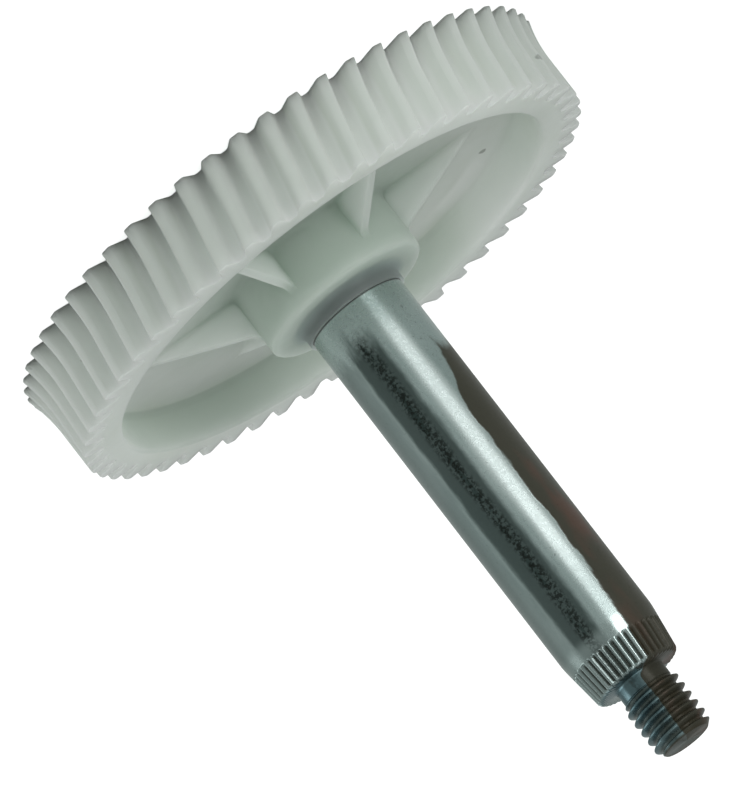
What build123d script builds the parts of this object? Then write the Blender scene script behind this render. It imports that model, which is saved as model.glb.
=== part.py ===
from build123d import *
import math
import os

# Worm wheel moulded onto its output shaft, from a worm geared motor.
#
# Millimetres and degrees.  The shaft axis is +Z.  The origin is the centre of
# the wheel's back face, which is also the lowest plane, so the wheel lies flat
# on Z = 0 and the threaded end of the shaft points up.

# ---------------------------------------------------------------- sizes: teeth
tooth_count = 56
tip_radius = 28.2  # over the straight half of the teeth
tooth_depth_in_modules = 2.211  # from tooth tip to root
helix_angle = 12.0  # right-handed, at the tips
pressure_angle = 20.0
throat_width = 4.5  # the back part of the face, curved round the worm
throat_rise = 0.72  # how far the tips rise at the back face
first_gap_angle = 3.4  # where the first gap is, halfway up the rim

# ----------------------------------------------------------- sizes: wheel body
rim_width = 8.8
rim_wall = 2.2  # under the tooth roots
front_recess_depth = 4.2
web_thickness = 2.6
hub_wall = 3.35  # nylon round the shaft
boss_rise = 2.1  # boss above the rim's front face
collar_wall = 0.3
collar_rise = 1.5  # collar above the boss
rib_count = 6
rib_thickness = 0.95
rib_drop = 0.2  # rib top below the rim's front face, at the boss
rib_reach = 10.35  # from the boss wall to the rib's toe
first_rib_angle = 54.0

edge_round = 0.35
boss_round = 0.5
root_round = 0.7
collar_root_round = 0.8

# ---------------------------------------------------------------- sizes: shaft
shaft_radius = 5.0
seat_relief = 0.25  # the bar is turned down this much where the nylon grips it
shaft_end_setback = 0.4  # steel end above the wheel's back face
shaft_end_chamfer = 0.5
centre_hole_radius = 1.0
centre_hole_depth = 2.0

anchor_start = 1.8  # knurled band, above the wheel's back face
anchor_length = 5.5
anchor_raise = 0.35  # knurl crests above the turned-down seat
anchor_sink = 0.12  # knurl valleys below it
anchor_count = 36
lock_groove_gap = 0.8  # from the knurl to the groove
lock_groove_width = 1.0
lock_groove_depth = 0.4

journal_free_length = 38.3  # from the collar's mouth to the taper
taper_length = 4.5
taper_half_angle = 7.0
taper_end_chamfer = 0.3
serration_count = 40
serration_depth = 0.32
serration_half_width = 0.29
serration_plain = 1.4  # smooth band before the serrations

neck_radius = 2.55
neck_length = 1.9
thread_radius = 3.0
thread_pitch = 1.0
thread_length = 5.4
thread_end_chamfer = 0.6
thread_depth_share = 0.613  # of the pitch, as on a metric bolt
thread_crest_share = 0.125  # flat crest, of the pitch
thread_flank_angle = 30.0

# ------------------------------------------------------------- worked-out sizes
module_size = 2 * tip_radius / (tooth_count + 2)
pitch_radius = tip_radius - module_size
root_radius = tip_radius - tooth_depth_in_modules * module_size
recess_radius = root_radius - rim_wall
seat_radius = shaft_radius - seat_relief
boss_radius = shaft_radius + hub_wall
web_front_z = rim_width - front_recess_depth
web_back_z = web_front_z - web_thickness
boss_top_z = rim_width + boss_rise
collar_radius = shaft_radius + collar_wall
collar_top_z = boss_top_z + collar_rise

throat_radius = (throat_width**2 + throat_rise**2) / (2 * throat_rise)
twist_per_mm = math.degrees(math.tan(math.radians(helix_angle)) / tip_radius)
gap_half_width = math.pi * pitch_radius / tooth_count / 2

lock_groove_start = anchor_start + anchor_length + lock_groove_gap
taper_start_z = collar_top_z + journal_free_length
taper_end_z = taper_start_z + taper_length
taper_end_radius = shaft_radius - taper_length * math.tan(math.radians(taper_half_angle))
shoulder_z = taper_end_z + taper_end_chamfer
thread_start_z = shoulder_z + neck_length
neck_top_z = thread_start_z - (thread_radius - neck_radius)
shaft_top_z = thread_start_z + thread_length

spill = 1.0  # how far a cutting shape runs past what it cuts
gap_overrun = 0.45  # the same for a tooth gap, kept short of its neighbours


def turned(points, radii=None):
    """Solid of revolution about Z from (radius, height) corners, each with its own rounding."""
    corners = [(radius, 0, height) for radius, height in points]
    outline = FilletPolyline(corners, radius=radii or [0] * len(corners), close=True)
    return revolve(make_face(outline), Axis.Z)


def fitted(rounding, wall):
    """A rounding that leaves room for another one on the same wall."""
    return min(rounding, 0.45 * wall)


def around(shape, count, start_angle=0.0):
    """Equally spaced copies of a shape about the shaft axis."""
    return [Rot(0, 0, start_angle + index * 360 / count) * shape for index in range(count)]


# --------------------------------------------------------------------- the teeth
def throat_lift(height):
    """How far the tooth surfaces stand out from their straight half, at one height."""
    below = max(0.0, throat_width - height)
    return throat_radius - math.sqrt(throat_radius**2 - below**2)


def throat_flare():
    """The ring that carries the tips out in a hollow curve towards the back face."""
    inner = root_radius - rim_wall / 2
    foot = (tip_radius + throat_rise, 0, 0)
    middle = (tip_radius + throat_lift(throat_width / 2), 0, throat_width / 2)
    start = (tip_radius, 0, throat_width)
    outline = [
        ThreePointArc(foot, middle, start),
        Polyline([start, (inner, 0, throat_width), (inner, 0, 0), foot]),
    ]
    return revolve(make_face(outline), Axis.Z)


def gap_section(height):
    """One tooth gap cut level across the rim, wider outwards by the pressure angle."""
    inner = root_radius + throat_lift(height)
    outer = tip_radius + throat_rise + gap_overrun
    slope = math.tan(math.radians(pressure_angle))
    inner_half = gap_half_width - (pitch_radius - root_radius) * slope
    outer_half = inner_half + (outer - inner) * slope
    turn = (height - rim_width / 2) * twist_per_mm
    outline = Polyline(
        [(inner, -inner_half), (outer, -outer_half), (outer, outer_half), (inner, inner_half)],
        close=True,
    )
    return Pos(0, 0, height) * Rot(0, 0, turn) * make_face(outline)


def tooth_gap():
    """Cutting shape for one helical gap, through both faces of the rim."""
    steps = 8
    low = -spill / 2
    high = rim_width + spill / 2
    heights = [low + (high - low) * step / steps for step in range(steps + 1)]
    return loft([gap_section(height) for height in heights])


# ----------------------------------------------------------------- the worm wheel
def wheel_blank():
    """Hub, web, rim, boss and collar turned in one piece, before the teeth."""
    bore = seat_radius - lock_groove_depth - spill
    back_root = fitted(root_round, web_back_z)
    back_edge = fitted(edge_round, web_back_z)
    corners = [
        ((bore, 0), 0),
        ((boss_radius, 0), back_edge),
        ((boss_radius, web_back_z), back_root),
        ((recess_radius, web_back_z), back_root),
        ((recess_radius, 0), back_edge),
        ((tip_radius, 0), 0),
        ((tip_radius, rim_width), 0),
        ((recess_radius, rim_width), edge_round),
        ((recess_radius, web_front_z), fitted(root_round, front_recess_depth)),
        ((boss_radius, web_front_z), fitted(root_round, front_recess_depth)),
        ((boss_radius, boss_top_z), boss_round),
        ((collar_radius, boss_top_z), fitted(collar_root_round, hub_wall)),
        ((collar_radius, collar_top_z), 0),
        ((bore, collar_top_z), 0),
    ]
    points = [corner[0] for corner in corners]
    radii = [corner[1] for corner in corners]
    return turned(points, radii) + throat_flare()


def gusset_rib():
    """Triangular rib from the boss wall down to the web."""
    buried = hub_wall / 2
    top = rim_width - rib_drop
    toe = boss_radius + rib_reach
    fall = (top - web_front_z) / rib_reach
    floor = web_front_z - web_thickness / 2
    corners = [
        (boss_radius - buried, 0, floor),
        (toe, 0, floor),
        (toe, 0, web_front_z),
        (boss_radius - buried, 0, top + fall * buried),
    ]
    side = make_face(Polyline(corners, close=True))
    return extrude(side, rib_thickness / 2, dir=(0, 1, 0), both=True)


def shaft_anchor():
    """The part of the shaft that the nylon grips: plain seat, knurled band and groove."""
    bar = Pos(0, 0, -spill) * Cylinder(
        seat_radius, collar_top_z + 2 * spill, align=(Align.CENTER, Align.CENTER, Align.MIN)
    )
    return bar + knurled_band() - lock_groove()


def worm_wheel():
    """The nylon moulding: blank, ribs and teeth, moulded tight round the shaft."""
    body = wheel_blank() + around(gusset_rib(), rib_count, first_rib_angle)
    body = body - around(tooth_gap(), tooth_count, first_gap_angle)
    return body - shaft_anchor()


# --------------------------------------------------------------- the output shaft
def knurled_band():
    """Straight knurl that stands out of the seat inside the hub."""
    crest = seat_radius + anchor_raise
    valley = seat_radius - anchor_sink
    step = math.pi / anchor_count
    star = [
        (
            (crest if index % 2 == 0 else valley) * math.cos(index * step),
            (crest if index % 2 == 0 else valley) * math.sin(index * step),
        )
        for index in range(2 * anchor_count)
    ]
    return Pos(0, 0, anchor_start) * extrude(make_face(Polyline(star, close=True)), anchor_length)


def lock_groove():
    """Ring cut from the seat, which the nylon fills so that it cannot slide off."""
    inner = seat_radius - lock_groove_depth
    outer = shaft_radius + spill
    top = lock_groove_start + lock_groove_width
    return turned(
        [(inner, lock_groove_start), (outer, lock_groove_start), (outer, top), (inner, top)]
    )


def shaft_blank():
    """Seat, journal, taper and neck turned in one piece, with a centre hole in the lower end."""
    hole_top = shaft_end_setback + centre_hole_depth
    return turned(
        [
            (centre_hole_radius, shaft_end_setback),
            (seat_radius - shaft_end_chamfer, shaft_end_setback),
            (seat_radius, shaft_end_setback + shaft_end_chamfer),
            (seat_radius, collar_top_z),
            (shaft_radius, collar_top_z),
            (shaft_radius, taper_start_z),
            (taper_end_radius, taper_end_z),
            (taper_end_radius - taper_end_chamfer, shoulder_z),
            (neck_radius, shoulder_z),
            (neck_radius, neck_top_z),
            (0, neck_top_z),
            (0, hole_top),
            (centre_hole_radius, hole_top - centre_hole_radius / 2),
        ]
    )


def serration_groove():
    """V groove down the side of the taper, open at its small end."""
    slope = math.radians(taper_half_angle)
    start_z = taper_start_z + serration_plain
    run = (taper_end_z + spill - start_z) / math.cos(slope)
    radius = shaft_radius - serration_plain * math.tan(slope)
    valley = (radius - serration_depth, 0, start_z)
    rise = serration_depth * 2
    half = serration_half_width * 2
    left = (radius - serration_depth + rise, -half, start_z)
    right = (radius - serration_depth + rise, half, start_z)
    section = make_face(Polyline([valley, left, right], close=True))
    return extrude(section, run, dir=(-math.sin(slope), 0, math.cos(slope)))


def thread_section():
    """The threaded bar cut across: a round cam, one crest and one root a turn."""
    depth = thread_depth_share * thread_pitch
    root = thread_radius - depth
    flank_turn = 360 * depth * math.tan(math.radians(thread_flank_angle)) / thread_pitch
    crest_end = 360 * thread_crest_share / 2
    root_start = crest_end + flank_turn
    root_end = 360 - root_start

    def at(radius, angle):
        return (radius * math.cos(math.radians(angle)), radius * math.sin(math.radians(angle)))

    steps = 8
    falling = [
        at(thread_radius - depth * step / steps, crest_end + flank_turn * step / steps)
        for step in range(steps + 1)
    ]
    rising = [
        at(root + depth * step / steps, root_end + flank_turn * step / steps)
        for step in range(steps + 1)
    ]
    outline = [
        ThreePointArc(rising[-1], at(thread_radius, 0), falling[0]),
        Spline(falling),
        ThreePointArc(falling[-1], at(root, 180), rising[0]),
        Spline(rising),
    ]
    return make_face(outline).face()


def bevel_ring(height, size, upward):
    """Cutting ring that takes a 45 degree bevel off the end of the stud."""
    way = 1 if upward else -1
    return turned(
        [
            (thread_radius - size - spill, height + way * spill),
            (thread_radius + spill, height - way * (size + spill)),
            (thread_radius + spill, height + way * spill),
        ]
    )


def threaded_stud():
    """The end of the bar: the section twisted one turn a pitch, bevelled at both ends."""
    length = shaft_top_z - neck_top_z
    twisted = Solid.extrude_linear_with_rotation(
        thread_section(), center=(0, 0, 0), normal=(0, 0, length), angle=360 * length / thread_pitch
    )
    stud = Pos(0, 0, neck_top_z) * twisted
    stud = stud - bevel_ring(shaft_top_z, thread_end_chamfer, True)
    return stud - bevel_ring(neck_top_z, thread_radius - neck_radius, False)


def output_shaft():
    """The steel bar: knurled seat, journal, serrated taper, neck and threaded stud."""
    bar = shaft_blank() + knurled_band() - lock_groove()
    bar = bar - around(serration_groove(), serration_count)
    return bar + threaded_stud()


# ------------------------------------------------------------------------- export
parts = {
    "worm_wheel": worm_wheel,
    "output_shaft": output_shaft,
}

os.makedirs("parts", exist_ok=True)
for name, make in parts.items():
    part = make()
    part.label = name
    export_step(part, f"parts/{name}.step")
    print(name, "solids", len(part.solids()), "faces", len(part.faces()), "volume", round(part.volume))
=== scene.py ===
# %% [markdown]
# # A nylon worm wheel moulded onto a steel output shaft
#
# This is the slow end of a worm geared motor. A white nylon wheel is shot round a plated steel
# bar, so there are two pieces and no fasteners. Nearly everything that catches the eye is round:
# teeth repeat round a rim, grooves repeat round a taper, a thread winds round a stud. So each
# piece below is one smooth sheet of points, bent round the shaft axis.
#
# We start from the imported solid model. It fixes where everything is, and its box gives the
# outer sizes.

import bpy
import numpy as np
from mathutils import Matrix, Vector


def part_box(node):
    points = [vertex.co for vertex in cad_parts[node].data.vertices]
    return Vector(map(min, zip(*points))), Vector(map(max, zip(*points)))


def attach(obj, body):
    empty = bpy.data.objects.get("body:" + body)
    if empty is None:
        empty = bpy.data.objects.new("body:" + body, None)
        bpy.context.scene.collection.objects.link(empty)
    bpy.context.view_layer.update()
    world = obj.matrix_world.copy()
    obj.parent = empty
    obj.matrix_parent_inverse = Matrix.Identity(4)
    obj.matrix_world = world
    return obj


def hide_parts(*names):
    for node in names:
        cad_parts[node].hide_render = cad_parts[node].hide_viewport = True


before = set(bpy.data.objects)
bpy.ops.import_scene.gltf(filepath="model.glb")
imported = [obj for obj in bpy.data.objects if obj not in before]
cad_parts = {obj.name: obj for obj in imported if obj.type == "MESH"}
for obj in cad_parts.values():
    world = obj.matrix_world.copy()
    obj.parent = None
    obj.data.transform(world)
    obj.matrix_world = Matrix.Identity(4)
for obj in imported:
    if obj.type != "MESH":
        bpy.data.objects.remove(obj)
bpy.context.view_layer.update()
_, wheel_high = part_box("worm_wheel")
shaft_low, shaft_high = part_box("output_shaft")
MM = 0.001

# %% [markdown]
# ## Sizes
#
# The model's box gives the outer sizes. The rest are the drawing's own values in millimetres,
# named once here and used everywhere below.

# %% Sizes of the wheel
flare_radius = wheel_high.x / MM
collar_top = wheel_high.z / MM
tooth_count = 56
tip_radius = 28.2
tooth_depth = 2.15
throat_width = 4.5
helix_angle = np.radians(12.0)
pressure_slope = np.tan(np.radians(20.0))
first_gap = 3.4

rim_width = 8.8
rim_wall = 2.2
web_front = 4.6
web_back = 2.0
boss_radius = 8.35
boss_top = rim_width + 2.1
collar_radius = 5.3

rib_count = 6
first_rib = 54.0
rib_top = rim_width - 0.2
rib_reach = 10.35

edge_round = 0.35
boss_round = 0.5
root_round = 0.7
collar_foot_round = 0.8

root_radius = tip_radius - tooth_depth
recess_radius = root_radius - rim_wall
throat_rise = flare_radius - tip_radius
throat_radius = (throat_width**2 + throat_rise**2) / (2 * throat_rise)
print("rim", round(2 * flare_radius, 2), "mm across,", tooth_count, "teeth")

# %% Sizes of the shaft
shaft_radius = 5.0
shaft_start = shaft_low.z / MM
shaft_top = shaft_high.z / MM
end_bevel = 0.5
centre_hole_radius = 1.0
centre_hole_depth = 2.0

stud_radius = 3.0
stud_length = 5.4
stud_bevel = 0.6
thread_pitch = 1.0
thread_depth = 0.56
neck_radius = 2.55
neck_length = 1.9

taper_length = 4.5
taper_slope = np.tan(np.radians(7.0))
taper_bevel = 0.3
serration_count = 40
serration_depth = 0.32
serration_half_width = 0.29
serration_plain = 1.4

stud_start = shaft_top - stud_length
neck_top = stud_start - (stud_radius - neck_radius)
shoulder = stud_start - neck_length
taper_end = shoulder - taper_bevel
taper_start = taper_end - taper_length
serration_start = taper_start + serration_plain
print("shaft", round(shaft_top, 2), "mm high, taper from", round(taper_start, 2))
print("serrations start at", round(serration_start, 2), "mm")

# %% [markdown]
# ## From a grid of points to a mesh
#
# A surface here is an array with one row for each step along an outline and one column for each
# step round the axis. Four neighbours make a face, so the whole mesh comes from two array
# shuffles. The volume under the faces tells which way they point: if it is negative, the sheet
# is inside out and every face is turned over.

# %% Grid helpers
def around_axis(angle, radius, height):
    """Points at (radius cos angle, radius sin angle, height), in metres from millimetres."""
    angle, radius, height = np.broadcast_arrays(angle, radius, height)
    turned = [radius * np.cos(angle), radius * np.sin(angle), height]
    return np.stack(turned, axis=-1) * MM


def grid_faces(rows, columns, ring):
    """Four-cornered faces between neighbouring rows and columns; columns always close up."""
    index = np.arange(rows * columns).reshape(rows, columns)
    below = index if ring else index[:-1]
    above = np.roll(index, -1, axis=0) if ring else index[1:]
    corners = [below, np.roll(below, -1, axis=1), np.roll(above, -1, axis=1), above]
    return np.stack(corners, axis=-1).reshape(-1, 4)


def signed_volume(points, faces):
    """Sum over all triangles of a dot (b cross c) / 6, which is positive if faces look outwards."""
    total = 0.0
    for corner in range(1, len(faces[0]) - 1):
        a, b, c = (points[faces[:, k]] for k in (0, corner, corner + 1))
        total += np.einsum("ij,ij->", a, np.cross(b, c)) / 6
    return total


def fan(ring, centre):
    """Triangles from each step of a ring of points to its centre."""
    return np.stack([ring, np.roll(ring, -1), np.full(len(ring), centre)], axis=-1)


def grid_piece(name, points, ring=False, caps=False):
    """A closed piece from a grid. A ring joins its last row to its first; caps close both ends,
    the first one wound backwards, so that all three sheets face the same way."""
    rows, columns = points.shape[:2]
    vertices = points.reshape(-1, 3)
    sheets = [grid_faces(rows, columns, ring)]
    if caps:
        start, end = np.arange(columns), np.arange(columns) + (rows - 1) * columns
        vertices = np.vstack([vertices, points[0].mean(axis=0), points[-1].mean(axis=0)])
        sheets += [fan(start[::-1], rows * columns), fan(end, rows * columns + 1)]
    volume = sum(signed_volume(vertices, faces) for faces in sheets)
    if volume < 0:
        sheets = [faces[:, ::-1] for faces in sheets]
    mesh = bpy.data.meshes.new(name)
    mesh.from_pydata(vertices.tolist(), [], sum((faces.tolist() for faces in sheets), []))
    mesh.shade_smooth()
    piece = bpy.data.objects.new(name, mesh)
    bpy.context.collection.objects.link(piece)
    print(name, len(mesh.polygons), "faces,", round(abs(volume) / MM**3), "cubic mm")
    return piece


def arc(radius, steps):
    """Quarter circle: how far along and how far up at each step, from flat to upright."""
    turn = np.linspace(0, np.pi / 2, steps)
    return radius * np.sin(turn), radius * (1 - np.cos(turn))


# %% [markdown]
# ## The wheel, part one: columns
#
# The real wheel comes out of its mould in one piece: slanted teeth, a dished web, six thin ribs,
# a boss and a collar. It could be cut from a blank with a cutter for each tooth gap, but cuts
# leave long thin triangles that shade badly, and soft mould edges are hard to add to them. One
# closed sheet has even faces everywhere and is rounded wherever we like.
#
# The sheet has 12 columns for each tooth, 672 in all. At the rim the columns gather where the
# teeth bend. Near the hub the same columns gather at the six ribs instead, so that a rib only
# 1 mm thick still has crisp sides. In between they slide smoothly from one layout to the other.

# %% Tooth columns
steps_per_tooth = 12
columns = tooth_count * steps_per_tooth
column = np.arange(columns)
tooth, step = np.divmod(column, steps_per_tooth)
half_step = steps_per_tooth // 2
station = np.where(step <= half_step, step, steps_per_tooth - step)
side = np.where(step <= half_step, 1.0, -1.0)
nearest_gap = np.where(step <= half_step, tooth, tooth + 1)
tooth_pitch = 2 * np.pi / tooth_count

module_size = 2 * tip_radius / (tooth_count + 2)
pitch_radius = tip_radius - module_size
root_half = np.pi * pitch_radius / tooth_count / 2 - (pitch_radius - root_radius) * pressure_slope


def throat_lift(height):
    """The teeth stand out by R - sqrt(R^2 - d^2) at depth d into the throat."""
    below = np.maximum(0.0, throat_width - height)
    return throat_radius - np.sqrt(throat_radius**2 - below**2)


def gap_edge(above_root):
    """Half the gap's width at a height above its root: it widens with the pressure angle."""
    return root_half + above_root * pressure_slope


def tooth_row(height, inset=0.0):
    """One turn of the toothed rim. Seven stations run from the middle of a gap to the middle of
    a tooth: root, root rounding, flank, tip rounding, land. The helix turns each row a little."""
    root_rise = 0.13
    shoulder_rise = tooth_depth - 0.17
    tip_gap = gap_edge(tooth_depth)
    rise = np.array([0, 0, root_rise, shoulder_rise, tooth_depth - 0.035, tooth_depth, tooth_depth])
    across = np.array([
        0, 0.2, gap_edge(root_rise) + 0.01, gap_edge(shoulder_rise), tip_gap + 0.05, tip_gap + 0.19, 0
    ])
    radius = root_radius + rise[station] + throat_lift(height) - inset
    swing = across[station] / radius
    swing = np.where(station == half_step, tooth_pitch / 2, swing)
    twist = (height - rim_width / 2) * np.tan(helix_angle) / tip_radius
    angle = np.radians(first_gap) + nearest_gap * tooth_pitch + side * swing + twist
    return angle, radius, np.full(columns, height)


print("tooth columns", columns, "gap at the root", round(2 * root_half, 2), "mm")

# %% Rib columns
rib_offsets = np.array([0, 0.2, 0.34, 0.43, 0.475, 0.5, 0.6, 0.95])
rib_side = len(rib_offsets) - 1
per_rib = columns // rib_count
middle_column = int(round((first_rib - first_gap) / 360 * columns))
rib, beside = np.divmod(column - middle_column, per_rib)
near = np.minimum(beside, per_rib - beside)
on_rib = near <= rib_side
rib_station = np.where(on_rib, near, rib_side)


def dish_angle(radius):
    """Column angles inside the rim: on a rib they keep a fixed distance from its middle, so the
    angle is arcsin(distance / radius); between two ribs they are spread evenly."""
    start = np.radians(first_rib) + rib * 2 * np.pi / rib_count
    reach = np.arcsin(rib_offsets / radius)
    gap = 2 * np.pi / rib_count - 2 * reach[-1]
    share = (beside - rib_side) / (per_rib - 2 * rib_side)
    spread = start + reach[-1] + share * gap
    leading = start + reach[rib_station]
    trailing = start + 2 * np.pi / rib_count - reach[rib_station]
    ribbed = np.where(beside <= rib_side, leading, trailing)
    return np.where(on_rib, ribbed, spread)


def rib_rise(radius):
    """Rib height above the web: a straight slope from the boss to the toe, with a rounded top
    and a small rounding at the foot of each side."""
    slope = (rib_top - web_front) / rib_reach
    full = max(0.0, rib_top - web_front - slope * (radius - boss_radius))
    top = np.array([0, 0, 0.01, 0.06, 0.17])
    crown = np.maximum(full - top, full * np.array([1, 1, 0.97, 0.8, 0.5]))
    foot = np.minimum([0.3, 0.07, 0.0], full * np.array([0.35, 0.12, 0.0]))
    return np.concatenate([crown, foot])[rib_station] * on_rib


print("rib columns", int(on_rib.sum()), "of", columns)

# %% [markdown]
# ## The wheel, part two: rows
#
# Now the outline. We walk once round the section of the moulding: up the teeth, in over the
# front face, down into the recess, along the web, up the boss, over the thin collar, down the
# bore and back along the hidden side. Every corner that a mould would round is a quarter circle.
# The rows end where they began, so the sheet closes on itself like a tyre. A row may be toothed,
# ribbed or plain, which is why rows were chosen over spinning one outline: a spun outline could
# only be plain.

# %% Rows of the rim and the faces
def dish_row(radius, height):
    """One turn at a radius and height, on the rib layout of columns."""
    return dish_angle(radius), np.full(columns, radius), np.broadcast_to(height, columns)


def ring_rows(outer, inner, count):
    """Rows that slide in a straight line from one row to another, both ends left out."""
    shares = np.linspace(0, 1, count + 2)[1:-1]
    return [tuple(a + (b - a) * share for a, b in zip(outer, inner)) for share in shares]


def face_rows(teeth, dish, count=6):
    """Across a face of the rim: first straight in to just inside the tooth gaps, because columns
    that slid sideways among the teeth would bridge a gap, then on to the other layout."""
    angle, _, height = teeth
    inside_gaps = root_radius - 0.3
    straight = (angle, np.full(columns, inside_gaps), height)
    return [straight] + ring_rows(straight, dish, count)


def rim_rows():
    """The toothed outside, from the back face to the front face, with its edges eased."""
    edge = 0.16
    heights = np.concatenate([
        np.linspace(edge, throat_width, 8),
        np.linspace(throat_width, rim_width - edge, 8)[1:],
    ])
    rows = [tooth_row(0.0, edge), tooth_row(0.05, edge * 0.3)]
    rows += [tooth_row(height) for height in heights]
    return rows + [tooth_row(rim_width - 0.05, edge * 0.3), tooth_row(rim_width, edge)]


def recess_rows(face, floor, way, floor_rise):
    """From the rim's inner edge down the wall to the floor. way is 1 for the front, -1 for back."""
    along, up = arc(edge_round, 4)
    rows = [dish_row(recess_radius + edge_round - a, face - way * u) for a, u in zip(along, up)]
    wall = np.linspace(face - way * edge_round, floor + way * root_round, 4)[1:-1]
    rows += [dish_row(recess_radius, height) for height in wall]
    along, up = arc(root_round, 6)
    for a, u in zip(along[::-1], up[::-1]):
        radius = recess_radius - root_round + a
        rows.append(dish_row(radius, floor + way * u + floor_rise(radius)))
    return rows


def flat(radius):
    """No ribs: the back of the web is plain."""
    return np.zeros(columns)


# %% Rows of the hub
def boss_rows(floor, top, way, floor_rise, edge):
    """Rounded foot, wall and rounded edge of the boss. Where a rib meets the boss, the wall
    starts at the rib's top, so the rows above it are squeezed and never cross."""
    rows = []
    along, up = arc(root_round, 5)
    for a, u in zip(along, up):
        radius = boss_radius + root_round - a
        rows.append(dish_row(radius, floor + way * u + floor_rise(radius)))
    foot = floor + way * root_round + floor_rise(boss_radius)
    head = top - way * edge
    for share in np.linspace(0, 1, 7)[1:-1]:
        rows.append(dish_row(boss_radius, foot + (head - foot) * share))
    along, up = arc(edge, 5)
    for a, u in zip(along[::-1], up[::-1]):
        rows.append(dish_row(boss_radius - edge + a, top - way * u))
    return rows


def collar_rows():
    """A hollow-rounded foot, a thin upright lip and the crack between its mouth and the steel."""
    along, up = arc(collar_foot_round, 7)
    rows = [
        dish_row(collar_radius + collar_foot_round - a, boss_top + u) for a, u in zip(along, up)
    ]
    lip = 0.07
    rows.append(dish_row(collar_radius, collar_top - lip))
    rows.append(dish_row(collar_radius - lip * 0.3, collar_top - lip * 0.3))
    rows.append(dish_row(collar_radius - lip, collar_top))
    rows.append(dish_row(shaft_radius + 0.1, collar_top))
    rows.append(dish_row(shaft_radius + 0.06, collar_top - 0.05))
    return rows + [dish_row(shaft_radius + 0.04, collar_top - 0.4)]


def bore_rows():
    """Down the bore, just inside the steel so that no light slips between, to the back face."""
    inside = shaft_radius - 0.05
    rows = [dish_row(inside, collar_top - 0.5), dish_row(inside, 0.6)]
    return rows + [dish_row(shaft_radius + 0.03, 0.3), dish_row(shaft_radius + 0.12, 0.0)]


# %% Build the wheel
def wheel_rows():
    """All rows in order, once round the section."""
    rim = rim_rows()
    front = recess_rows(rim_width, web_front, 1, rib_rise)
    boss = boss_rows(web_front, boss_top, 1, rib_rise, boss_round)
    back_boss = boss_rows(web_back, 0.0, -1, flat, edge_round)[::-1]
    back = recess_rows(0.0, web_back, -1, flat)[::-1]
    bore = bore_rows()
    web_radii = np.linspace(recess_radius - root_round, boss_radius + root_round, 20)[1:-1]
    front_web = [dish_row(r, web_front + rib_rise(r)) for r in web_radii]
    back_web = [dish_row(r, web_back) for r in web_radii[::-3]]
    rows = rim + face_rows(rim[-1], front[0]) + front + front_web + boss
    rows += collar_rows() + bore + ring_rows(bore[-1], back_boss[0], 2)
    return rows + back_boss + back_web + back + face_rows(rim[0], back[-1])[::-1]


wheel_grid = np.stack([around_axis(*row) for row in wheel_rows()])
wheel = grid_piece("worm_wheel_moulding", wheel_grid, ring=True)

# %% [markdown]
# ## The shaft
#
# The bar is turned, then rolled: forty V grooves are pressed into a short taper. A lathe outline
# gives radius against height, and the grooves are taken off that radius wherever the height is
# between the ends of the rolled band. Forty cutters would give the same grooves, but a number
# taken off a radius cannot fail, and it lets each groove begin with a short ramp.

# %% Shaft surface
def serration_cut(angle, height, radius):
    """Groove depth: a V that falls straight from its edges to its middle, with a short ramp at
    the start where the rolling tool bit in."""
    pitch = 2 * np.pi / serration_count
    ramp_length = 0.35
    across = np.abs((angle + pitch / 2) % pitch - pitch / 2) * radius
    depth = serration_depth * np.clip(1 - across / serration_half_width, 0, 1)
    ramp = np.clip((height - serration_start) / ramp_length, 0, 1) ** 0.5
    return depth * ramp


def shaft_outline():
    """Corners of the lathe outline as (radius, height), from the centre hole to the neck."""
    hole_top = shaft_start + centre_hole_depth
    start_radius = shaft_radius - end_bevel
    taper_radius = shaft_radius - taper_length * taper_slope
    outline = [
        (0.05, hole_top),
        (centre_hole_radius, hole_top - 0.5),
        (centre_hole_radius, shaft_start),
        (start_radius, shaft_start),
        (shaft_radius, shaft_start + end_bevel),
    ]
    outline += [(shaft_radius, h) for h in np.linspace(shaft_start + 2, taper_start - 0.3, 12)]
    outline += [(shaft_radius - 0.02, taper_start + 0.05)]
    for rise in (0.4, 0.9, 1.3, 1.4, 1.44, 1.5, 1.6, 1.75, 2.2, 2.8, 3.4, 4.0, 4.35):
        outline.append((shaft_radius - rise * taper_slope, taper_start + rise))
    outline += [
        (taper_radius, taper_end),
        (taper_radius - taper_bevel * 0.3, taper_end + taper_bevel * 0.5),
        (taper_radius - taper_bevel, shoulder),
        (neck_radius + 0.25, shoulder),
        (neck_radius + 0.07, shoulder + 0.07),
        (neck_radius, shoulder + 0.25),
        (neck_radius, neck_top - 0.02),
        (neck_radius - 0.3, neck_top + 0.1),
    ]
    return np.array(outline)


def eased(outline, size=0.05):
    """Each sharp corner becomes two points a little to either side, so that it shades round."""
    before = outline[1:-1] - outline[:-2]
    after = outline[2:] - outline[1:-1]
    long_before = np.linalg.norm(before, axis=1, keepdims=True)
    long_after = np.linalg.norm(after, axis=1, keepdims=True)
    near_before = outline[1:-1] - before / long_before * np.minimum(size, long_before * 0.3)
    near_after = outline[1:-1] + after / long_after * np.minimum(size, long_after * 0.3)
    pairs = np.stack([near_before, near_after], axis=1).reshape(-1, 2)
    return np.vstack([outline[:1], pairs, outline[-1:]])


def shaft_grid():
    """Radius and height follow the outline; on the taper each radius loses the groove's depth."""
    outline = eased(shaft_outline())
    turns = serration_count * 12
    angle = np.arange(turns) * 2 * np.pi / turns
    radius, height = outline[:, :1], outline[:, 1:]
    rolled = (height > taper_start) & (height <= shoulder) & (radius > stud_radius + 0.6)
    cut = serration_cut(angle, height, radius) * rolled
    return around_axis(angle, radius - cut, height)


shaft = grid_piece("output_shaft_bar", shaft_grid(), caps=True)

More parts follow.
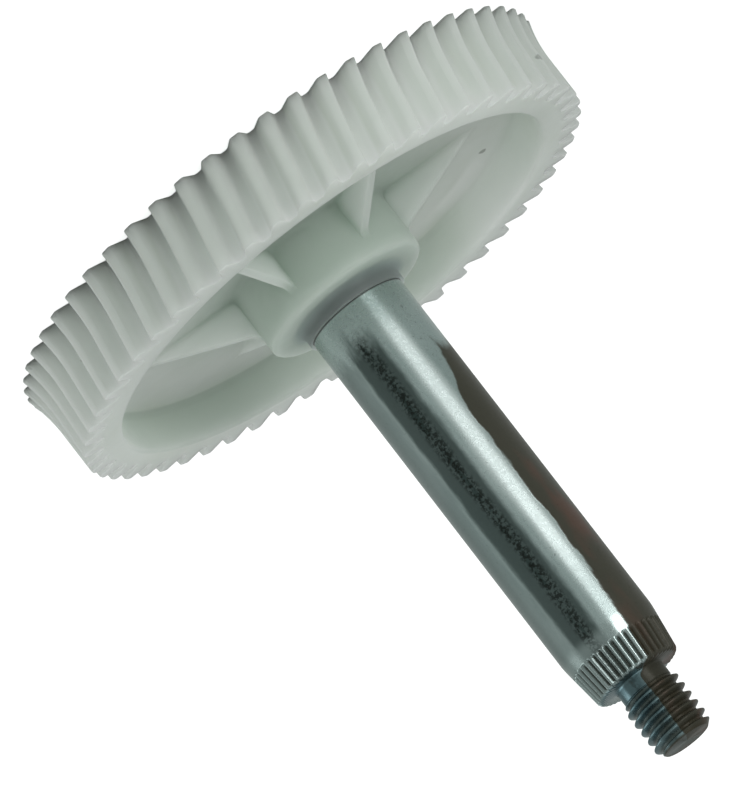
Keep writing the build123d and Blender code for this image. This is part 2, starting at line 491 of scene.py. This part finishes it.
# %% [markdown]
# ## The threaded stud
#
# A thread needs no sweep and no cutting. At any height the stud's section is one rounded cam,
# and the cam turns once for each pitch. So the radius is a simple wave of height minus angle:
# a narrow crest, two 60 degree flanks and a rounded root.

# %% Stud surface
def thread_radius_at(angle, height):
    """Radius from the distance to the nearest crest, as a share of the pitch: flat crest, then
    straight down the flank, then flat root, with the corners softened by a cosine."""
    phase = (height - neck_top) / thread_pitch - angle / (2 * np.pi)
    from_crest = np.abs((phase + 0.5) % 1 - 0.5)
    flank = thread_depth * np.tan(np.radians(30)) / thread_pitch
    share = np.clip((from_crest - 0.05) / (flank + 0.03), 0, 1)
    soft = 0.5 - 0.5 * np.cos(np.pi * share)
    return stud_radius - thread_depth * (0.6 * share + 0.4 * soft)


def stud_grid():
    """Upright rows along the thread, held under the bevel at each end, then in over the face."""
    turns, levels = 144, 150
    angle = np.arange(turns) * 2 * np.pi / turns
    height = np.linspace(neck_top, shaft_top, levels)[:, None]
    radius = thread_radius_at(angle, height)
    lower_limit = neck_radius + (height - neck_top)
    upper_limit = stud_radius - np.maximum(0, height - (shaft_top - stud_bevel))
    radius = np.minimum(radius, np.minimum(lower_limit, upper_limit))
    inward = np.array([0.97, 0.9, 0.7, 0.4, 0.1])[:, None]
    face_radius = radius[-1] * inward
    face_height = np.full((len(inward), 1), shaft_top)
    rows = [around_axis(angle, radius, height), around_axis(angle, face_radius, face_height)]
    return np.vstack(rows)


stud = grid_piece("threaded_stud", stud_grid(), caps=True)

# %% [markdown]
# ## Small helpers for materials
#
# Every finish below is a little graph of nodes that reads Object coordinates, so a pattern stays
# put on the piece whatever the view. These helpers only save typing.

# %% Node helpers
def new_material(name):
    """An empty node material with its shader ready, and its Object coordinates."""
    material = bpy.data.materials.new(name)
    material.use_nodes = True
    tree = material.node_tree
    shader = tree.nodes["Principled BSDF"]
    place = tree.nodes.new("ShaderNodeTexCoord").outputs["Object"]
    return material, tree, shader, place


def calculate(tree, operation, first, second=None, third=None, clamp=False):
    """A Math node: each input is a number or another node's output."""
    node = tree.nodes.new("ShaderNodeMath")
    node.operation = operation
    node.use_clamp = clamp
    for socket, value in zip(node.inputs, (first, second, third)):
        if value is None:
            continue
        if isinstance(value, (int, float)):
            socket.default_value = value
        else:
            tree.links.new(value, socket)
    return node.outputs[0]


def times(tree, first, *others):
    """A product of several values."""
    for other in others:
        first = calculate(tree, "MULTIPLY", first, other)
    return first


def between(tree, value, low, high, to_low=0.0, to_high=1.0):
    """A smooth step: to_low below low, to_high above high."""
    node = tree.nodes.new("ShaderNodeMapRange")
    node.interpolation_type = "SMOOTHSTEP"
    tree.links.new(value, node.inputs["Value"])
    ends = {"From Min": low, "From Max": high, "To Min": to_low, "To Max": to_high}
    for name, number in ends.items():
        node.inputs[name].default_value = number
    return node.outputs["Result"]


def blend_colours(tree, share, first, second, blend="MIX"):
    """A Mix node for colours: each is a triple or another node's output."""
    node = tree.nodes.new("ShaderNodeMix")
    node.data_type = "RGBA"
    node.blend_type = blend
    if isinstance(share, (int, float)):
        node.inputs["Factor"].default_value = share
    else:
        tree.links.new(share, node.inputs["Factor"])
    for name, value in (("A", first), ("B", second)):
        socket = [s for s in node.inputs if s.name == name and s.type == "RGBA"][0]
        if isinstance(value, tuple):
            socket.default_value = (*value, 1.0)
        else:
            tree.links.new(value, socket)
    return [s for s in node.outputs if s.type == "RGBA"][0]


def grain(tree, place, scale, detail=4.0, roughness=0.5, stretch=(1, 1, 1), seed=(0, 0, 0)):
    """Noise in object space. A small stretch value draws the pattern out along that axis."""
    mapping = tree.nodes.new("ShaderNodeMapping")
    mapping.inputs["Scale"].default_value = stretch
    mapping.inputs["Location"].default_value = seed
    tree.links.new(place, mapping.inputs["Vector"])
    noise = tree.nodes.new("ShaderNodeTexNoise")
    noise.inputs["Scale"].default_value = scale
    noise.inputs["Detail"].default_value = detail
    noise.inputs["Roughness"].default_value = roughness
    tree.links.new(mapping.outputs["Vector"], noise.inputs["Vector"])
    return noise.outputs["Fac"]


def raise_surface(tree, shader, *layers, normal=None):
    """Bump from several (height, strength, distance) layers, each on top of the last."""
    for height, strength, distance in layers:
        bump = tree.nodes.new("ShaderNodeBump")
        bump.inputs["Strength"].default_value = strength
        bump.inputs["Distance"].default_value = distance
        tree.links.new(height, bump.inputs["Height"])
        if normal is not None:
            tree.links.new(normal, bump.inputs["Normal"])
        normal = bump.outputs["Normal"]
    tree.links.new(normal, shader.inputs["Normal"])


def cylinder_parts(tree, place):
    """Splits a place into distance from the axis, height, and angle round the axis in degrees:
    0 at -Y, growing towards -X."""
    split = tree.nodes.new("ShaderNodeSeparateXYZ")
    tree.links.new(place, split.inputs["Vector"])
    x, y, height = split.outputs
    squares = calculate(tree, "ADD", times(tree, x, x), times(tree, y, y))
    turn = calculate(tree, "ARCTAN2", times(tree, x, -1.0), times(tree, y, -1.0))
    return calculate(tree, "SQRT", squares), height, calculate(tree, "DEGREES", turn)


def sway(tree, value, noise, reach):
    """A value pushed to and fro by noise, up to half the reach each way."""
    centred = calculate(tree, "SUBTRACT", noise, 0.5)
    return calculate(tree, "MULTIPLY_ADD", centred, reach, value)


def band(tree, value, low, high, soft):
    """1 between low and high, falling off smoothly over the soft width at both ends."""
    rising = between(tree, value, low - soft / 2, low + soft / 2)
    falling = between(tree, value, high - soft / 2, high + soft / 2, 1.0, 0.0)
    return times(tree, rising, falling)


# %% [markdown]
# ## Natural nylon
#
# Unfilled nylon is cloudy, not opaque: light goes in, scatters a few millimetres and comes out
# again, which is what softens the teeth. That is subsurface scattering. It does not do all of the
# work here. Scattering cannot see another piece, so where the wall over the steel is thin, as on
# the collar and the boss, the colour darkens with nearness to the shaft instead. Past the boss the
# same darkening runs on over the web and ribs as painted shade round the hub. Thick and thin places
# get painted light and painted shade of their own, and the teeth are shaded as if they were rounder.

# %% Nylon tones
nylon_body = ((0.655, 0.71, 0.645), (0.71, 0.765, 0.71))
# Darker nylon where the steel shows through at the collar and boss; the second tone is also painted
# shade on the web and ribs round the hub.
nylon_steel_and_shade_tones = ((0.33, 0.42, 0.40), (0.48, 0.555, 0.495))
# Painted light at the tooth roots and painted shade at the tips.
painted_root_light = (0.81, 0.86, 0.81)
painted_tip_shade = (0.58, 0.635, 0.58)
# Painted shade on the thin ribs and on the shaded side of the rim's inner wall.
painted_shade_grey = (0.50, 0.56, 0.51)
# Painted light on the web, where light comes in through the rim.
painted_glow_white = (0.86, 0.91, 0.86)
mote_dark = (0.16, 0.17, 0.15)
dish_strength = 0.7
scatter_reach = 8.0
normal_lean = 0.95
print("nylon scatters over", scatter_reach, "mm")

# %% Places of the nylon tones, with their painted light and shade
# Radii are in millimetres. Angles round the wheel are in degrees: 0 at -Y, growing towards -X.
collar_shade = (5.25, 6.6)
# Painted shade round the hub fades out across the web and ribs between these radii.
hub_shade = (8.2, 20.0)
rib_radii = (8.9, 19.5)
rib_heights = (web_front + 1.0, rim_width + 0.4)
# Angles of the painted shade on the rim's inner wall, then of the painted light on the web.
grey_behind = (142, 165)
grey_beside = (-110, -90)
pale_angles = (122, 145)
pale_radii = (20, recess_radius + 0.3)
inner_wall = (recess_radius - 0.5, recess_radius + 0.4)
root_band = (root_radius - 0.4, root_radius + 0.9)
tip_rise = (root_radius + 1.0, tip_radius + 0.1)
teeth_start = (root_radius - 0.6, root_radius - 0.1)
print("hub shade from", hub_shade[0], "to", hub_shade[1], "mm from the axis")


def climb(tree, value, span, to_low=0.0, to_high=1.0):
    """A smooth step over a span of millimetres."""
    low, high = span
    return between(tree, value, low * MM, high * MM, to_low, to_high)


def within(tree, value, span, soft):
    """1 inside a span of millimetres, falling off over the soft width at both ends."""
    low, high = span
    return band(tree, value, low * MM, high * MM, soft * MM)


# %% Teeth seen through nylon
def sideways(tree):
    """The surface's own normal, and a mask: 1 on faces that look away from the axis, 0 on faces
    that look along it."""
    own = tree.nodes.new("ShaderNodeNewGeometry").outputs["Normal"]
    parts = tree.nodes.new("ShaderNodeSeparateXYZ")
    tree.links.new(own, parts.inputs["Vector"])
    along = calculate(tree, "ABSOLUTE", parts.outputs["Z"])
    return own, between(tree, along, 0.3, 0.75, 1.0, 0.0)


def calmed_normal(tree, place, own, teeth):
    """The toothed outside lit as if it were rounder than it is: light that has wandered through
    the teeth evens them out. The normal leans from its own way towards straight out. On a Mix
    node the vector inputs are numbers 4 and 5, and the vector result is number 1."""
    outward = tree.nodes.new("ShaderNodeVectorMath")
    outward.operation = "MULTIPLY"
    outward.inputs[1].default_value = (1 / (tip_radius * MM), 1 / (tip_radius * MM), 0)
    tree.links.new(place, outward.inputs[0])
    lean = tree.nodes.new("ShaderNodeMix")
    lean.data_type = "VECTOR"
    tree.links.new(times(tree, teeth, normal_lean), lean.inputs[0])
    tree.links.new(own, lean.inputs[4])
    tree.links.new(outward.outputs["Vector"], lean.inputs[5])
    straight = tree.nodes.new("ShaderNodeVectorMath")
    straight.operation = "NORMALIZE"
    tree.links.new(lean.outputs[1], straight.inputs[0])
    return straight.outputs["Vector"]


def painted_tooth_light_and_shade(tree, colour, across, teeth):
    """Painted light and shade on the teeth, for light that thick nylon sends back and thin nylon
    lets through: roots are painted whiter and tips greyer.
    """
    root = within(tree, across, root_band, 0.8)
    tip = climb(tree, across, tip_rise)
    colour = blend_colours(tree, times(tree, root, teeth), colour, painted_root_light)
    return blend_colours(tree, times(tree, tip, teeth), colour, painted_tip_shade)


# %% Painted light and shade inside the dish
def painted_dish_light_and_shade(tree, colour, across, height, angle):
    """Painted shade and light inside the dish. Ribs are thin and pass light on, so they are painted
    greyer. So is the rim's inner wall on the +Y and +X side, the side in shade. A patch beside it is
    painted paler, where light comes in through the rim."""
    high_up = within(tree, height, rib_heights, 0.8)
    clear_of_walls = within(tree, across, rib_radii, 0.6)
    ribs = times(tree, high_up, clear_of_walls, dish_strength)
    colour = blend_colours(tree, ribs, colour, painted_shade_grey)

    behind = between(tree, angle, *grey_behind)
    beside = between(tree, angle, *grey_beside, 1.0, 0.0)
    grey_side = calculate(tree, "MAXIMUM", behind, beside)
    wall = within(tree, across, inner_wall, 0.4)
    colour = blend_colours(tree, times(tree, grey_side, wall, dish_strength), colour, painted_shade_grey)

    pale_side = band(tree, angle, *pale_angles, 16)
    outer_web = within(tree, across, pale_radii, 1.5)
    pale_patch = times(tree, pale_side, outer_web, dish_strength)
    return blend_colours(tree, pale_patch, colour, painted_glow_white)


# %% Nylon
def nylon_finish():
    """Cloudy off-white with a green cast, darker over the steel, with painted light and shade on the
    teeth, web and ribs, satin, with a faint mould grain.
    """
    material, tree, shader, place = new_material("natural_nylon")
    across, height, angle = cylinder_parts(tree, place)
    cloud = grain(tree, place, 70, detail=3)
    fine = grain(tree, place, 900, detail=5, seed=(3, 1, 2))
    motes = grain(tree, place, 420, detail=1, seed=(8, 3, 6))
    own, side = sideways(tree)
    teeth = times(tree, side, climb(tree, across, teeth_start))

    body = blend_colours(tree, between(tree, cloud, 0.35, 0.65), *nylon_body)
    # Darker where the steel shows through thin nylon, and painted shade on the web and ribs out to 20
    # mm from the axis.
    steel_showing_and_hub_shade = blend_colours(tree, climb(tree, across, collar_shade), *nylon_steel_and_shade_tones)
    clear_of_hub = climb(tree, across, hub_shade)
    colour = blend_colours(tree, clear_of_hub, steel_showing_and_hub_shade, painted_tooth_light_and_shade(tree, body, across, teeth))
    colour = painted_dish_light_and_shade(tree, colour, across, height, angle)
    dots = times(tree, between(tree, motes, 0.775, 0.80, 0.0, 0.7), clear_of_hub)
    colour = blend_colours(tree, dots, colour, mote_dark)
    tree.links.new(colour, shader.inputs["Base Color"])

    rough = between(tree, fine, 0.3, 0.7, 0.42, 0.54)
    tree.links.new(rough, shader.inputs["Roughness"])
    shader.inputs["IOR"].default_value = 1.53
    shader.inputs["Specular IOR Level"].default_value = 0.25
    shader.inputs["Subsurface Weight"].default_value = 1.0
    shader.inputs["Subsurface Radius"].default_value = (1.0, 1.0, 1.0)
    shader.inputs["Subsurface Scale"].default_value = scatter_reach * MM
    normal = calmed_normal(tree, place, own, teeth)
    raise_surface(tree, shader, (cloud, 0.15, 0.2 * MM), (fine, 0.1, 0.02 * MM), normal=normal)
    print("natural_nylon", len(tree.nodes), "nodes")
    return material


# %% [markdown]
# ## Plated steel
#
# The bar is ground round and round, then zinc plated. Grinding lines run round the axis, so a
# lamp beside the shaft is smeared into a bright streak along it. Under that streak a brighter band
# of plating is a painted highlight. A dark grey belt with a peppery black streak in it, and a
# weaker dark mark on the flank, are painted dark reflections. Use has left a brown film of old
# grease down one side with a ragged edge. Wherever the surface drops below its lathe outline, in
# the grooves and in the thread, and in the crack at the collar's mouth, painted shade darkens it.
#
# A picture wrapped round the bar could hold all this, but it would blur close up. Here each mark
# is a mask made of angle, height and noise, and then one colour, roughness or metal share is
# mixed by it. So a mark stays sharp, and moving one means changing two angles.

# %% Steel tones
plating_tones = ((0.36, 0.44, 0.43), (0.42, 0.50, 0.49))
# Painted highlight: a brighter plating band under the lamp's streak.
painted_highlight_band = (0.66, 0.74, 0.73)
stud_tones = ((0.14, 0.23, 0.26), (0.25, 0.325, 0.325))
# Painted dark reflections: a dark belt, a black streak in it and a weaker mark on the flank.
painted_dark_reflection = (0.05, 0.072, 0.068)
pepper_black = (0.02, 0.025, 0.022)
speck_dark = (0.10, 0.12, 0.11)
# Painted shade in the grooves, the thread roots and the crack at the collar's mouth.
painted_hollow_shade = (0.055, 0.065, 0.055)
film_tones = ((0.036, 0.029, 0.014), (0.075, 0.030, 0.014))
print("plating from", plating_tones[0], "to", plating_tones[1])

# %% Places of the marks
# Angles round the bar are in degrees: 0 at -Y, growing towards -X. Heights are in millimetres.
flank_angles = (-95, -39)
belt_angles = (-39, -1)
streak_angles = (-23, -11)
pepper_angles = (-23, -9)
highlight_band_angles = (9, 30)
film_front_angle = 37.0
film_creep = 0.22
film_back_angles = (128, 140)

highlight_band_foot = (13, 18.5)
highlight_band_end = (40, 50)
streak_foot = (14.2, 17.5)
streak_end = (taper_start - 0.5, taper_start + 0.8)
film_foot = (19.3, 20.6)
film_widens = (20, 27)
stud_step = (shoulder - 0.3, shoulder + 0.6)
stud_tone_start = (shoulder - 0.3, shoulder + 0.1)
rolled_heights = (serration_start - 0.2, taper_end)
thread_foot = (neck_top, neck_top + 0.2)
end_face_heights = (shaft_top - 0.15, shaft_top - 0.02)
mouth_heights = (collar_top + 0.05, collar_top + 0.18)
print("belt", belt_angles, "rubbed band", highlight_band_angles, "film from", film_front_angle)


# %% Marks on the steel
def grease_mask(tree, place, height, angle):
    """Film on the -X side. Its edge creeps to the front with height, wanders with noise and steps
    forward on the stud. The stud's end face has a thinner film all over."""
    ragged = grain(tree, place, 330, detail=6, roughness=0.6, stretch=(1, 1, 0.55), seed=(2, 0, 4))
    creeping = calculate(tree, "MULTIPLY_ADD", height, -film_creep / MM, film_front_angle)
    narrow_start = climb(tree, height, film_widens, 20.0, 0.0)
    step_on_stud = climb(tree, height, stud_step, 0.0, 20.0)
    edge = calculate(tree, "ADD", creeping, narrow_start)
    edge = calculate(tree, "SUBTRACT", edge, step_on_stud)
    past_edge = calculate(tree, "SUBTRACT", sway(tree, angle, ragged, 24.0), edge)
    front_edge = between(tree, past_edge, -1.0, 2.5)
    back_edge = between(tree, sway(tree, angle, ragged, 40.0), *film_back_angles, 1.0, 0.0)
    foot = climb(tree, sway(tree, height, ragged, 5 * MM), film_foot)
    end_face = climb(tree, height, end_face_heights, 0.0, 0.75)
    return calculate(tree, "MAXIMUM", times(tree, front_edge, back_edge, foot), end_face)


def dark_reflection_mask(tree, place, height, angle):
    """Painted dark reflections: a dark belt along the +X side of the front, a blotchy black streak
    in it, and a weaker dark mark round the +X flank. All of it stops short of the collar and fades
    on the taper."""
    blotch = grain(tree, place, 620, detail=8, roughness=0.68, stretch=(1, 1, 0.25), seed=(4, 4, 1))
    belt = times(tree, band(tree, sway(tree, angle, blotch, 14.0), *belt_angles, 9), 0.86)
    streak = times(tree, band(tree, sway(tree, angle, blotch, 20.0), *streak_angles, 9),
                   between(tree, blotch, 0.34, 0.56, 0.72, 1.0))
    flank = times(tree, band(tree, sway(tree, angle, blotch, 30.0), *flank_angles, 20), 0.5)
    marks = calculate(tree, "MAXIMUM", calculate(tree, "MAXIMUM", belt, flank), streak)
    foot = climb(tree, sway(tree, height, blotch, 7 * MM), streak_foot)
    end = climb(tree, height, streak_end, 1.0, 0.45)
    return times(tree, marks, foot, end)


def highlight_band_mask(tree, patch, height, angle):
    """A painted highlight: a bright band beside the film's front edge, under the lamp's streak,
    starting clear of the collar and weaker towards the taper."""
    painted_highlight = band(tree, sway(tree, angle, patch, 8.0), *highlight_band_angles, 10)
    foot = climb(tree, height, highlight_band_foot)
    end = climb(tree, height, highlight_band_end, 1.0, 0.35)
    return times(tree, painted_highlight, foot, end)


def hollow_shade_mask(tree, across, height):
    """Painted shade: how far the surface lies below the lathe outline of the taper or of the stud,
    and a thin dark line round the bar at the collar's mouth."""
    down_taper = calculate(tree, "SUBTRACT", height, taper_start * MM)
    outline = calculate(tree, "MULTIPLY_ADD", down_taper, -taper_slope, shaft_radius * MM)
    on_taper = within(tree, height, rolled_heights, 0.2)
    taper_depth = times(tree, calculate(tree, "SUBTRACT", outline, across), on_taper)
    taper_hollows = climb(tree, taper_depth, (0.06, 0.26))
    stud_depth = calculate(tree, "SUBTRACT", stud_radius * MM, across)
    thread_hollows = times(tree, climb(tree, stud_depth, (0.22, 0.6), 0.0, 0.8),
                      climb(tree, height, thread_foot))
    side_only = climb(tree, across, (1.9, 2.2))
    grooves = times(tree, calculate(tree, "MAXIMUM", taper_hollows, thread_hollows), side_only)
    mouth = climb(tree, height, mouth_heights, 0.9, 0.0)
    return calculate(tree, "MAXIMUM", grooves, mouth)


# %% Steel
def steel_colour(tree, patch, specks, height, angle, masks):
    """Blue-grey plating, then the painted highlight band, painted dark reflections, black specks,
    specks, painted shade in the hollows and the grease film, one by one.
    """
    grease, dark_reflections, hollows_shaded = masks
    plating = blend_colours(tree, between(tree, patch, 0.35, 0.65), *plating_tones)
    # Painted highlight band under the lamp's streak.
    plating = blend_colours(tree, highlight_band_mask(tree, patch, height, angle), plating, painted_highlight_band)
    stud_tone = blend_colours(tree, between(tree, patch, 0.4, 0.6), *stud_tones)
    colour = blend_colours(tree, climb(tree, height, stud_tone_start), plating, stud_tone)
    # Painted dark reflections beside the highlight, with black specks along the streak.
    colour = blend_colours(tree, dark_reflections, colour, painted_dark_reflection)
    pepper = times(tree, between(tree, specks, 0.44, 0.56),
                   band(tree, sway(tree, angle, patch, 10.0), *pepper_angles, 7), dark_reflections)
    colour = blend_colours(tree, pepper, colour, pepper_black)
    colour = blend_colours(tree, between(tree, specks, 0.62, 0.74, 0.0, 0.6), colour, speck_dark)
    # Painted shade in the hollows below the lathe outline and at the collar's mouth.
    colour = blend_colours(tree, hollows_shaded, colour, painted_hollow_shade)
    film = blend_colours(tree, between(tree, patch, 0.52, 0.68), *film_tones)
    return blend_colours(tree, times(tree, grease, 0.94), colour, film)


def steel_finish():
    """Plated bar: colour by its marks, less metal and less gloss under the grease film and in the
    hollows painted with shade.
    """
    material, tree, shader, place = new_material("plated_steel")
    across, height, angle = cylinder_parts(tree, place)
    patch = grain(tree, place, 200, detail=3, stretch=(1, 1, 0.4), seed=(5, 2, 9))
    specks = grain(tree, place, 3000, detail=3, roughness=0.7, seed=(1, 7, 4))
    lines = grain(tree, place, 4200, detail=3, stretch=(0.04, 0.04, 1))
    grease = grease_mask(tree, place, height, angle)
    dark_reflections = dark_reflection_mask(tree, place, height, angle)
    hollows_shaded = hollow_shade_mask(tree, across, height)
    colour = steel_colour(tree, patch, specks, height, angle, (grease, dark_reflections, hollows_shaded))
    tree.links.new(colour, shader.inputs["Base Color"])

    dull = calculate(tree, "MAXIMUM", grease, times(tree, hollows_shaded, 0.8))
    metal = calculate(tree, "MULTIPLY_ADD", dull, -0.8, 1.0)
    tree.links.new(metal, shader.inputs["Metallic"])
    mottle = between(tree, specks, 0.4, 0.7, 0.23, 0.30)
    rougher_marks = calculate(tree, "MAXIMUM", dull, dark_reflections)
    rough = calculate(tree, "MULTIPLY_ADD", rougher_marks, 0.16, mottle)
    tree.links.new(rough, shader.inputs["Roughness"])
    shader.inputs["Specular IOR Level"].default_value = 0.3
    shader.inputs["Anisotropic"].default_value = 0.8
    shader.inputs["Anisotropic Rotation"].default_value = 0.25
    tangent = tree.nodes.new("ShaderNodeTangent")
    tangent.direction_type = "RADIAL"
    tangent.axis = "Z"
    tree.links.new(tangent.outputs["Tangent"], shader.inputs["Tangent"])
    raise_surface(tree, shader, (lines, 0.1, 0.01 * MM), (specks, 0.07, 0.012 * MM),
                  (grease, 0.5, 0.04 * MM))
    print("plated_steel", len(tree.nodes), "nodes")
    return material


# %% Dress the pieces
nylon = nylon_finish()
steel = steel_finish()
wheel.data.materials.append(nylon)
shaft.data.materials.append(steel)
stud.data.materials.append(steel)
for piece, node, slot in (
    (wheel, "worm_wheel", "nylon"),
    (shaft, "output_shaft", "plated_steel"),
    (stud, "output_shaft", "plated_steel"),
):
    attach(piece, "root")
    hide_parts(node)
print("dressed", [piece.name for piece in (wheel, shaft, stud)])

# %% [markdown]
# ## Stage, lamps and camera
#
# Pale nylon on a pale stage loses its edges if the stage shines on it as brightly as it looks. So
# the floor and sky show the camera one colour and every other ray a darker one, and three soft
# lamps draw the form. The large lamp overhead lights the wheel, the small low one on the -X side
# draws the bright streak down the bar, and the weak one on the +X side lifts that end of the rim.
# The camera looks along the wheel's face from a little above it, through a long lens, and is
# rolled so that the shaft runs down to the lower right.

# %% Floor and sky
def two_faced(tree, seen, unseen):
    """A colour that is pale where the camera looks straight at it and darker to every other ray,
    so that a white stage does not flood the piece with light from below."""
    ray = tree.nodes.new("ShaderNodeLightPath")
    return blend_colours(tree, ray.outputs["Is Camera Ray"], unseen, seen)


# The floor lies a hair below the back face, so that the two never share a plane.
floor_mesh = bpy.data.meshes.new("floor")
reach = 4.0
under = -0.02 * MM
floor_mesh.from_pydata(
    [(-reach, -reach, under), (reach, -reach, under), (reach, reach, under), (-reach, reach, under)],
    [], [(0, 1, 2, 3)],
)
floor = bpy.data.objects.new("floor", floor_mesh)
bpy.context.collection.objects.link(floor)
floor_material, floor_tree, floor_shader, _ = new_material("pale_floor")
floor_colour = two_faced(floor_tree, (0.90, 0.91, 0.91), (0.88, 0.90, 0.89))
floor_glow = two_faced(floor_tree, (0.66, 0.66, 0.66), (0.0, 0.0, 0.0))
floor_tree.links.new(floor_colour, floor_shader.inputs["Base Color"])
floor_tree.links.new(floor_glow, floor_shader.inputs["Emission Color"])
floor_shader.inputs["Emission Strength"].default_value = 1.0
floor_shader.inputs["Roughness"].default_value = 1.0
floor_shader.inputs["Specular IOR Level"].default_value = 0.0
floor.data.materials.append(floor_material)

world = bpy.data.worlds.new("studio")
world.use_nodes = True
bpy.context.scene.world = world
sky = world.node_tree.nodes["Background"]
sky_colour = two_faced(world.node_tree, (0.93, 0.94, 0.94), (0.41, 0.43, 0.42))
world.node_tree.links.new(sky_colour, sky.inputs["Color"])
print("floor and sky ready")


# %% Lamps
def soft_lamp(name, azimuth, elevation, distance, width, height, power):
    """An oblong area lamp aimed at the middle of the shaft, placed by two angles in degrees.
    Azimuth 0 is over the camera, and plus is towards +X."""
    lamp = bpy.data.lights.new(name, "AREA")
    lamp.shape = "RECTANGLE"
    lamp.size = width
    lamp.size_y = height
    lamp.energy = power
    holder = bpy.data.objects.new(name, lamp)
    turn, lift = np.radians(azimuth), np.radians(elevation)
    way = Vector((np.sin(turn) * np.cos(lift), -np.cos(turn) * np.cos(lift), np.sin(lift)))
    target = Vector((0, 0, shaft_top * 0.4 * MM))
    holder.location = target + way * distance
    holder.rotation_euler = way.to_track_quat("Z", "Y").to_euler()
    holder.visible_camera = False
    bpy.context.collection.objects.link(holder)
    print(name, "lamp", round(power, 2), "W")


# Name, azimuth, elevation, distance, width and height in metres, power in watts.
soft_lamp("overhead", -15, 68, 0.8, 0.6, 0.6, 0.7)
soft_lamp("key", -38, 10, 0.5, 0.22, 0.16, 0.6)
soft_lamp("edge", 96, 24, 0.5, 0.24, 0.34, 0.36)

# %% Camera
# The two roll numbers are the sine and cosine of about 37.6 degrees. The sensor's 36 mm span the
# longer side of the frame, which is its height, so similar triangles give the distance.
view_lift = np.radians(14.5)
roll_along, roll_across = 0.6103, 0.7922
back_way = Vector((0, -np.cos(view_lift), np.sin(view_lift)))
level_right = Vector((1, 0, 0))
level_up = Vector((0, np.sin(view_lift), np.cos(view_lift)))
camera_right = level_up * roll_along - level_right * roll_across
camera_up = -level_up * roll_across - level_right * roll_along
aim = Vector((3.51, 0, 19.9)) * MM
frame_height = 73.1 * MM
lens_data = bpy.data.cameras.new("camera")
lens_data.lens = 500
lens_data.sensor_width = 36
camera_distance = frame_height * lens_data.lens / lens_data.sensor_width
camera = bpy.data.objects.new("camera", lens_data)
turned = Matrix((camera_right, camera_up, back_way)).transposed().to_4x4()
camera.matrix_world = Matrix.Translation(aim + back_way * camera_distance) @ turned
lens_data.clip_start = 0.05
lens_data.clip_end = 20
bpy.context.collection.objects.link(camera)
scene = bpy.context.scene
scene.camera = camera
scene.view_settings.view_transform = "Standard"
print("camera", round(camera_distance, 3), "m away")
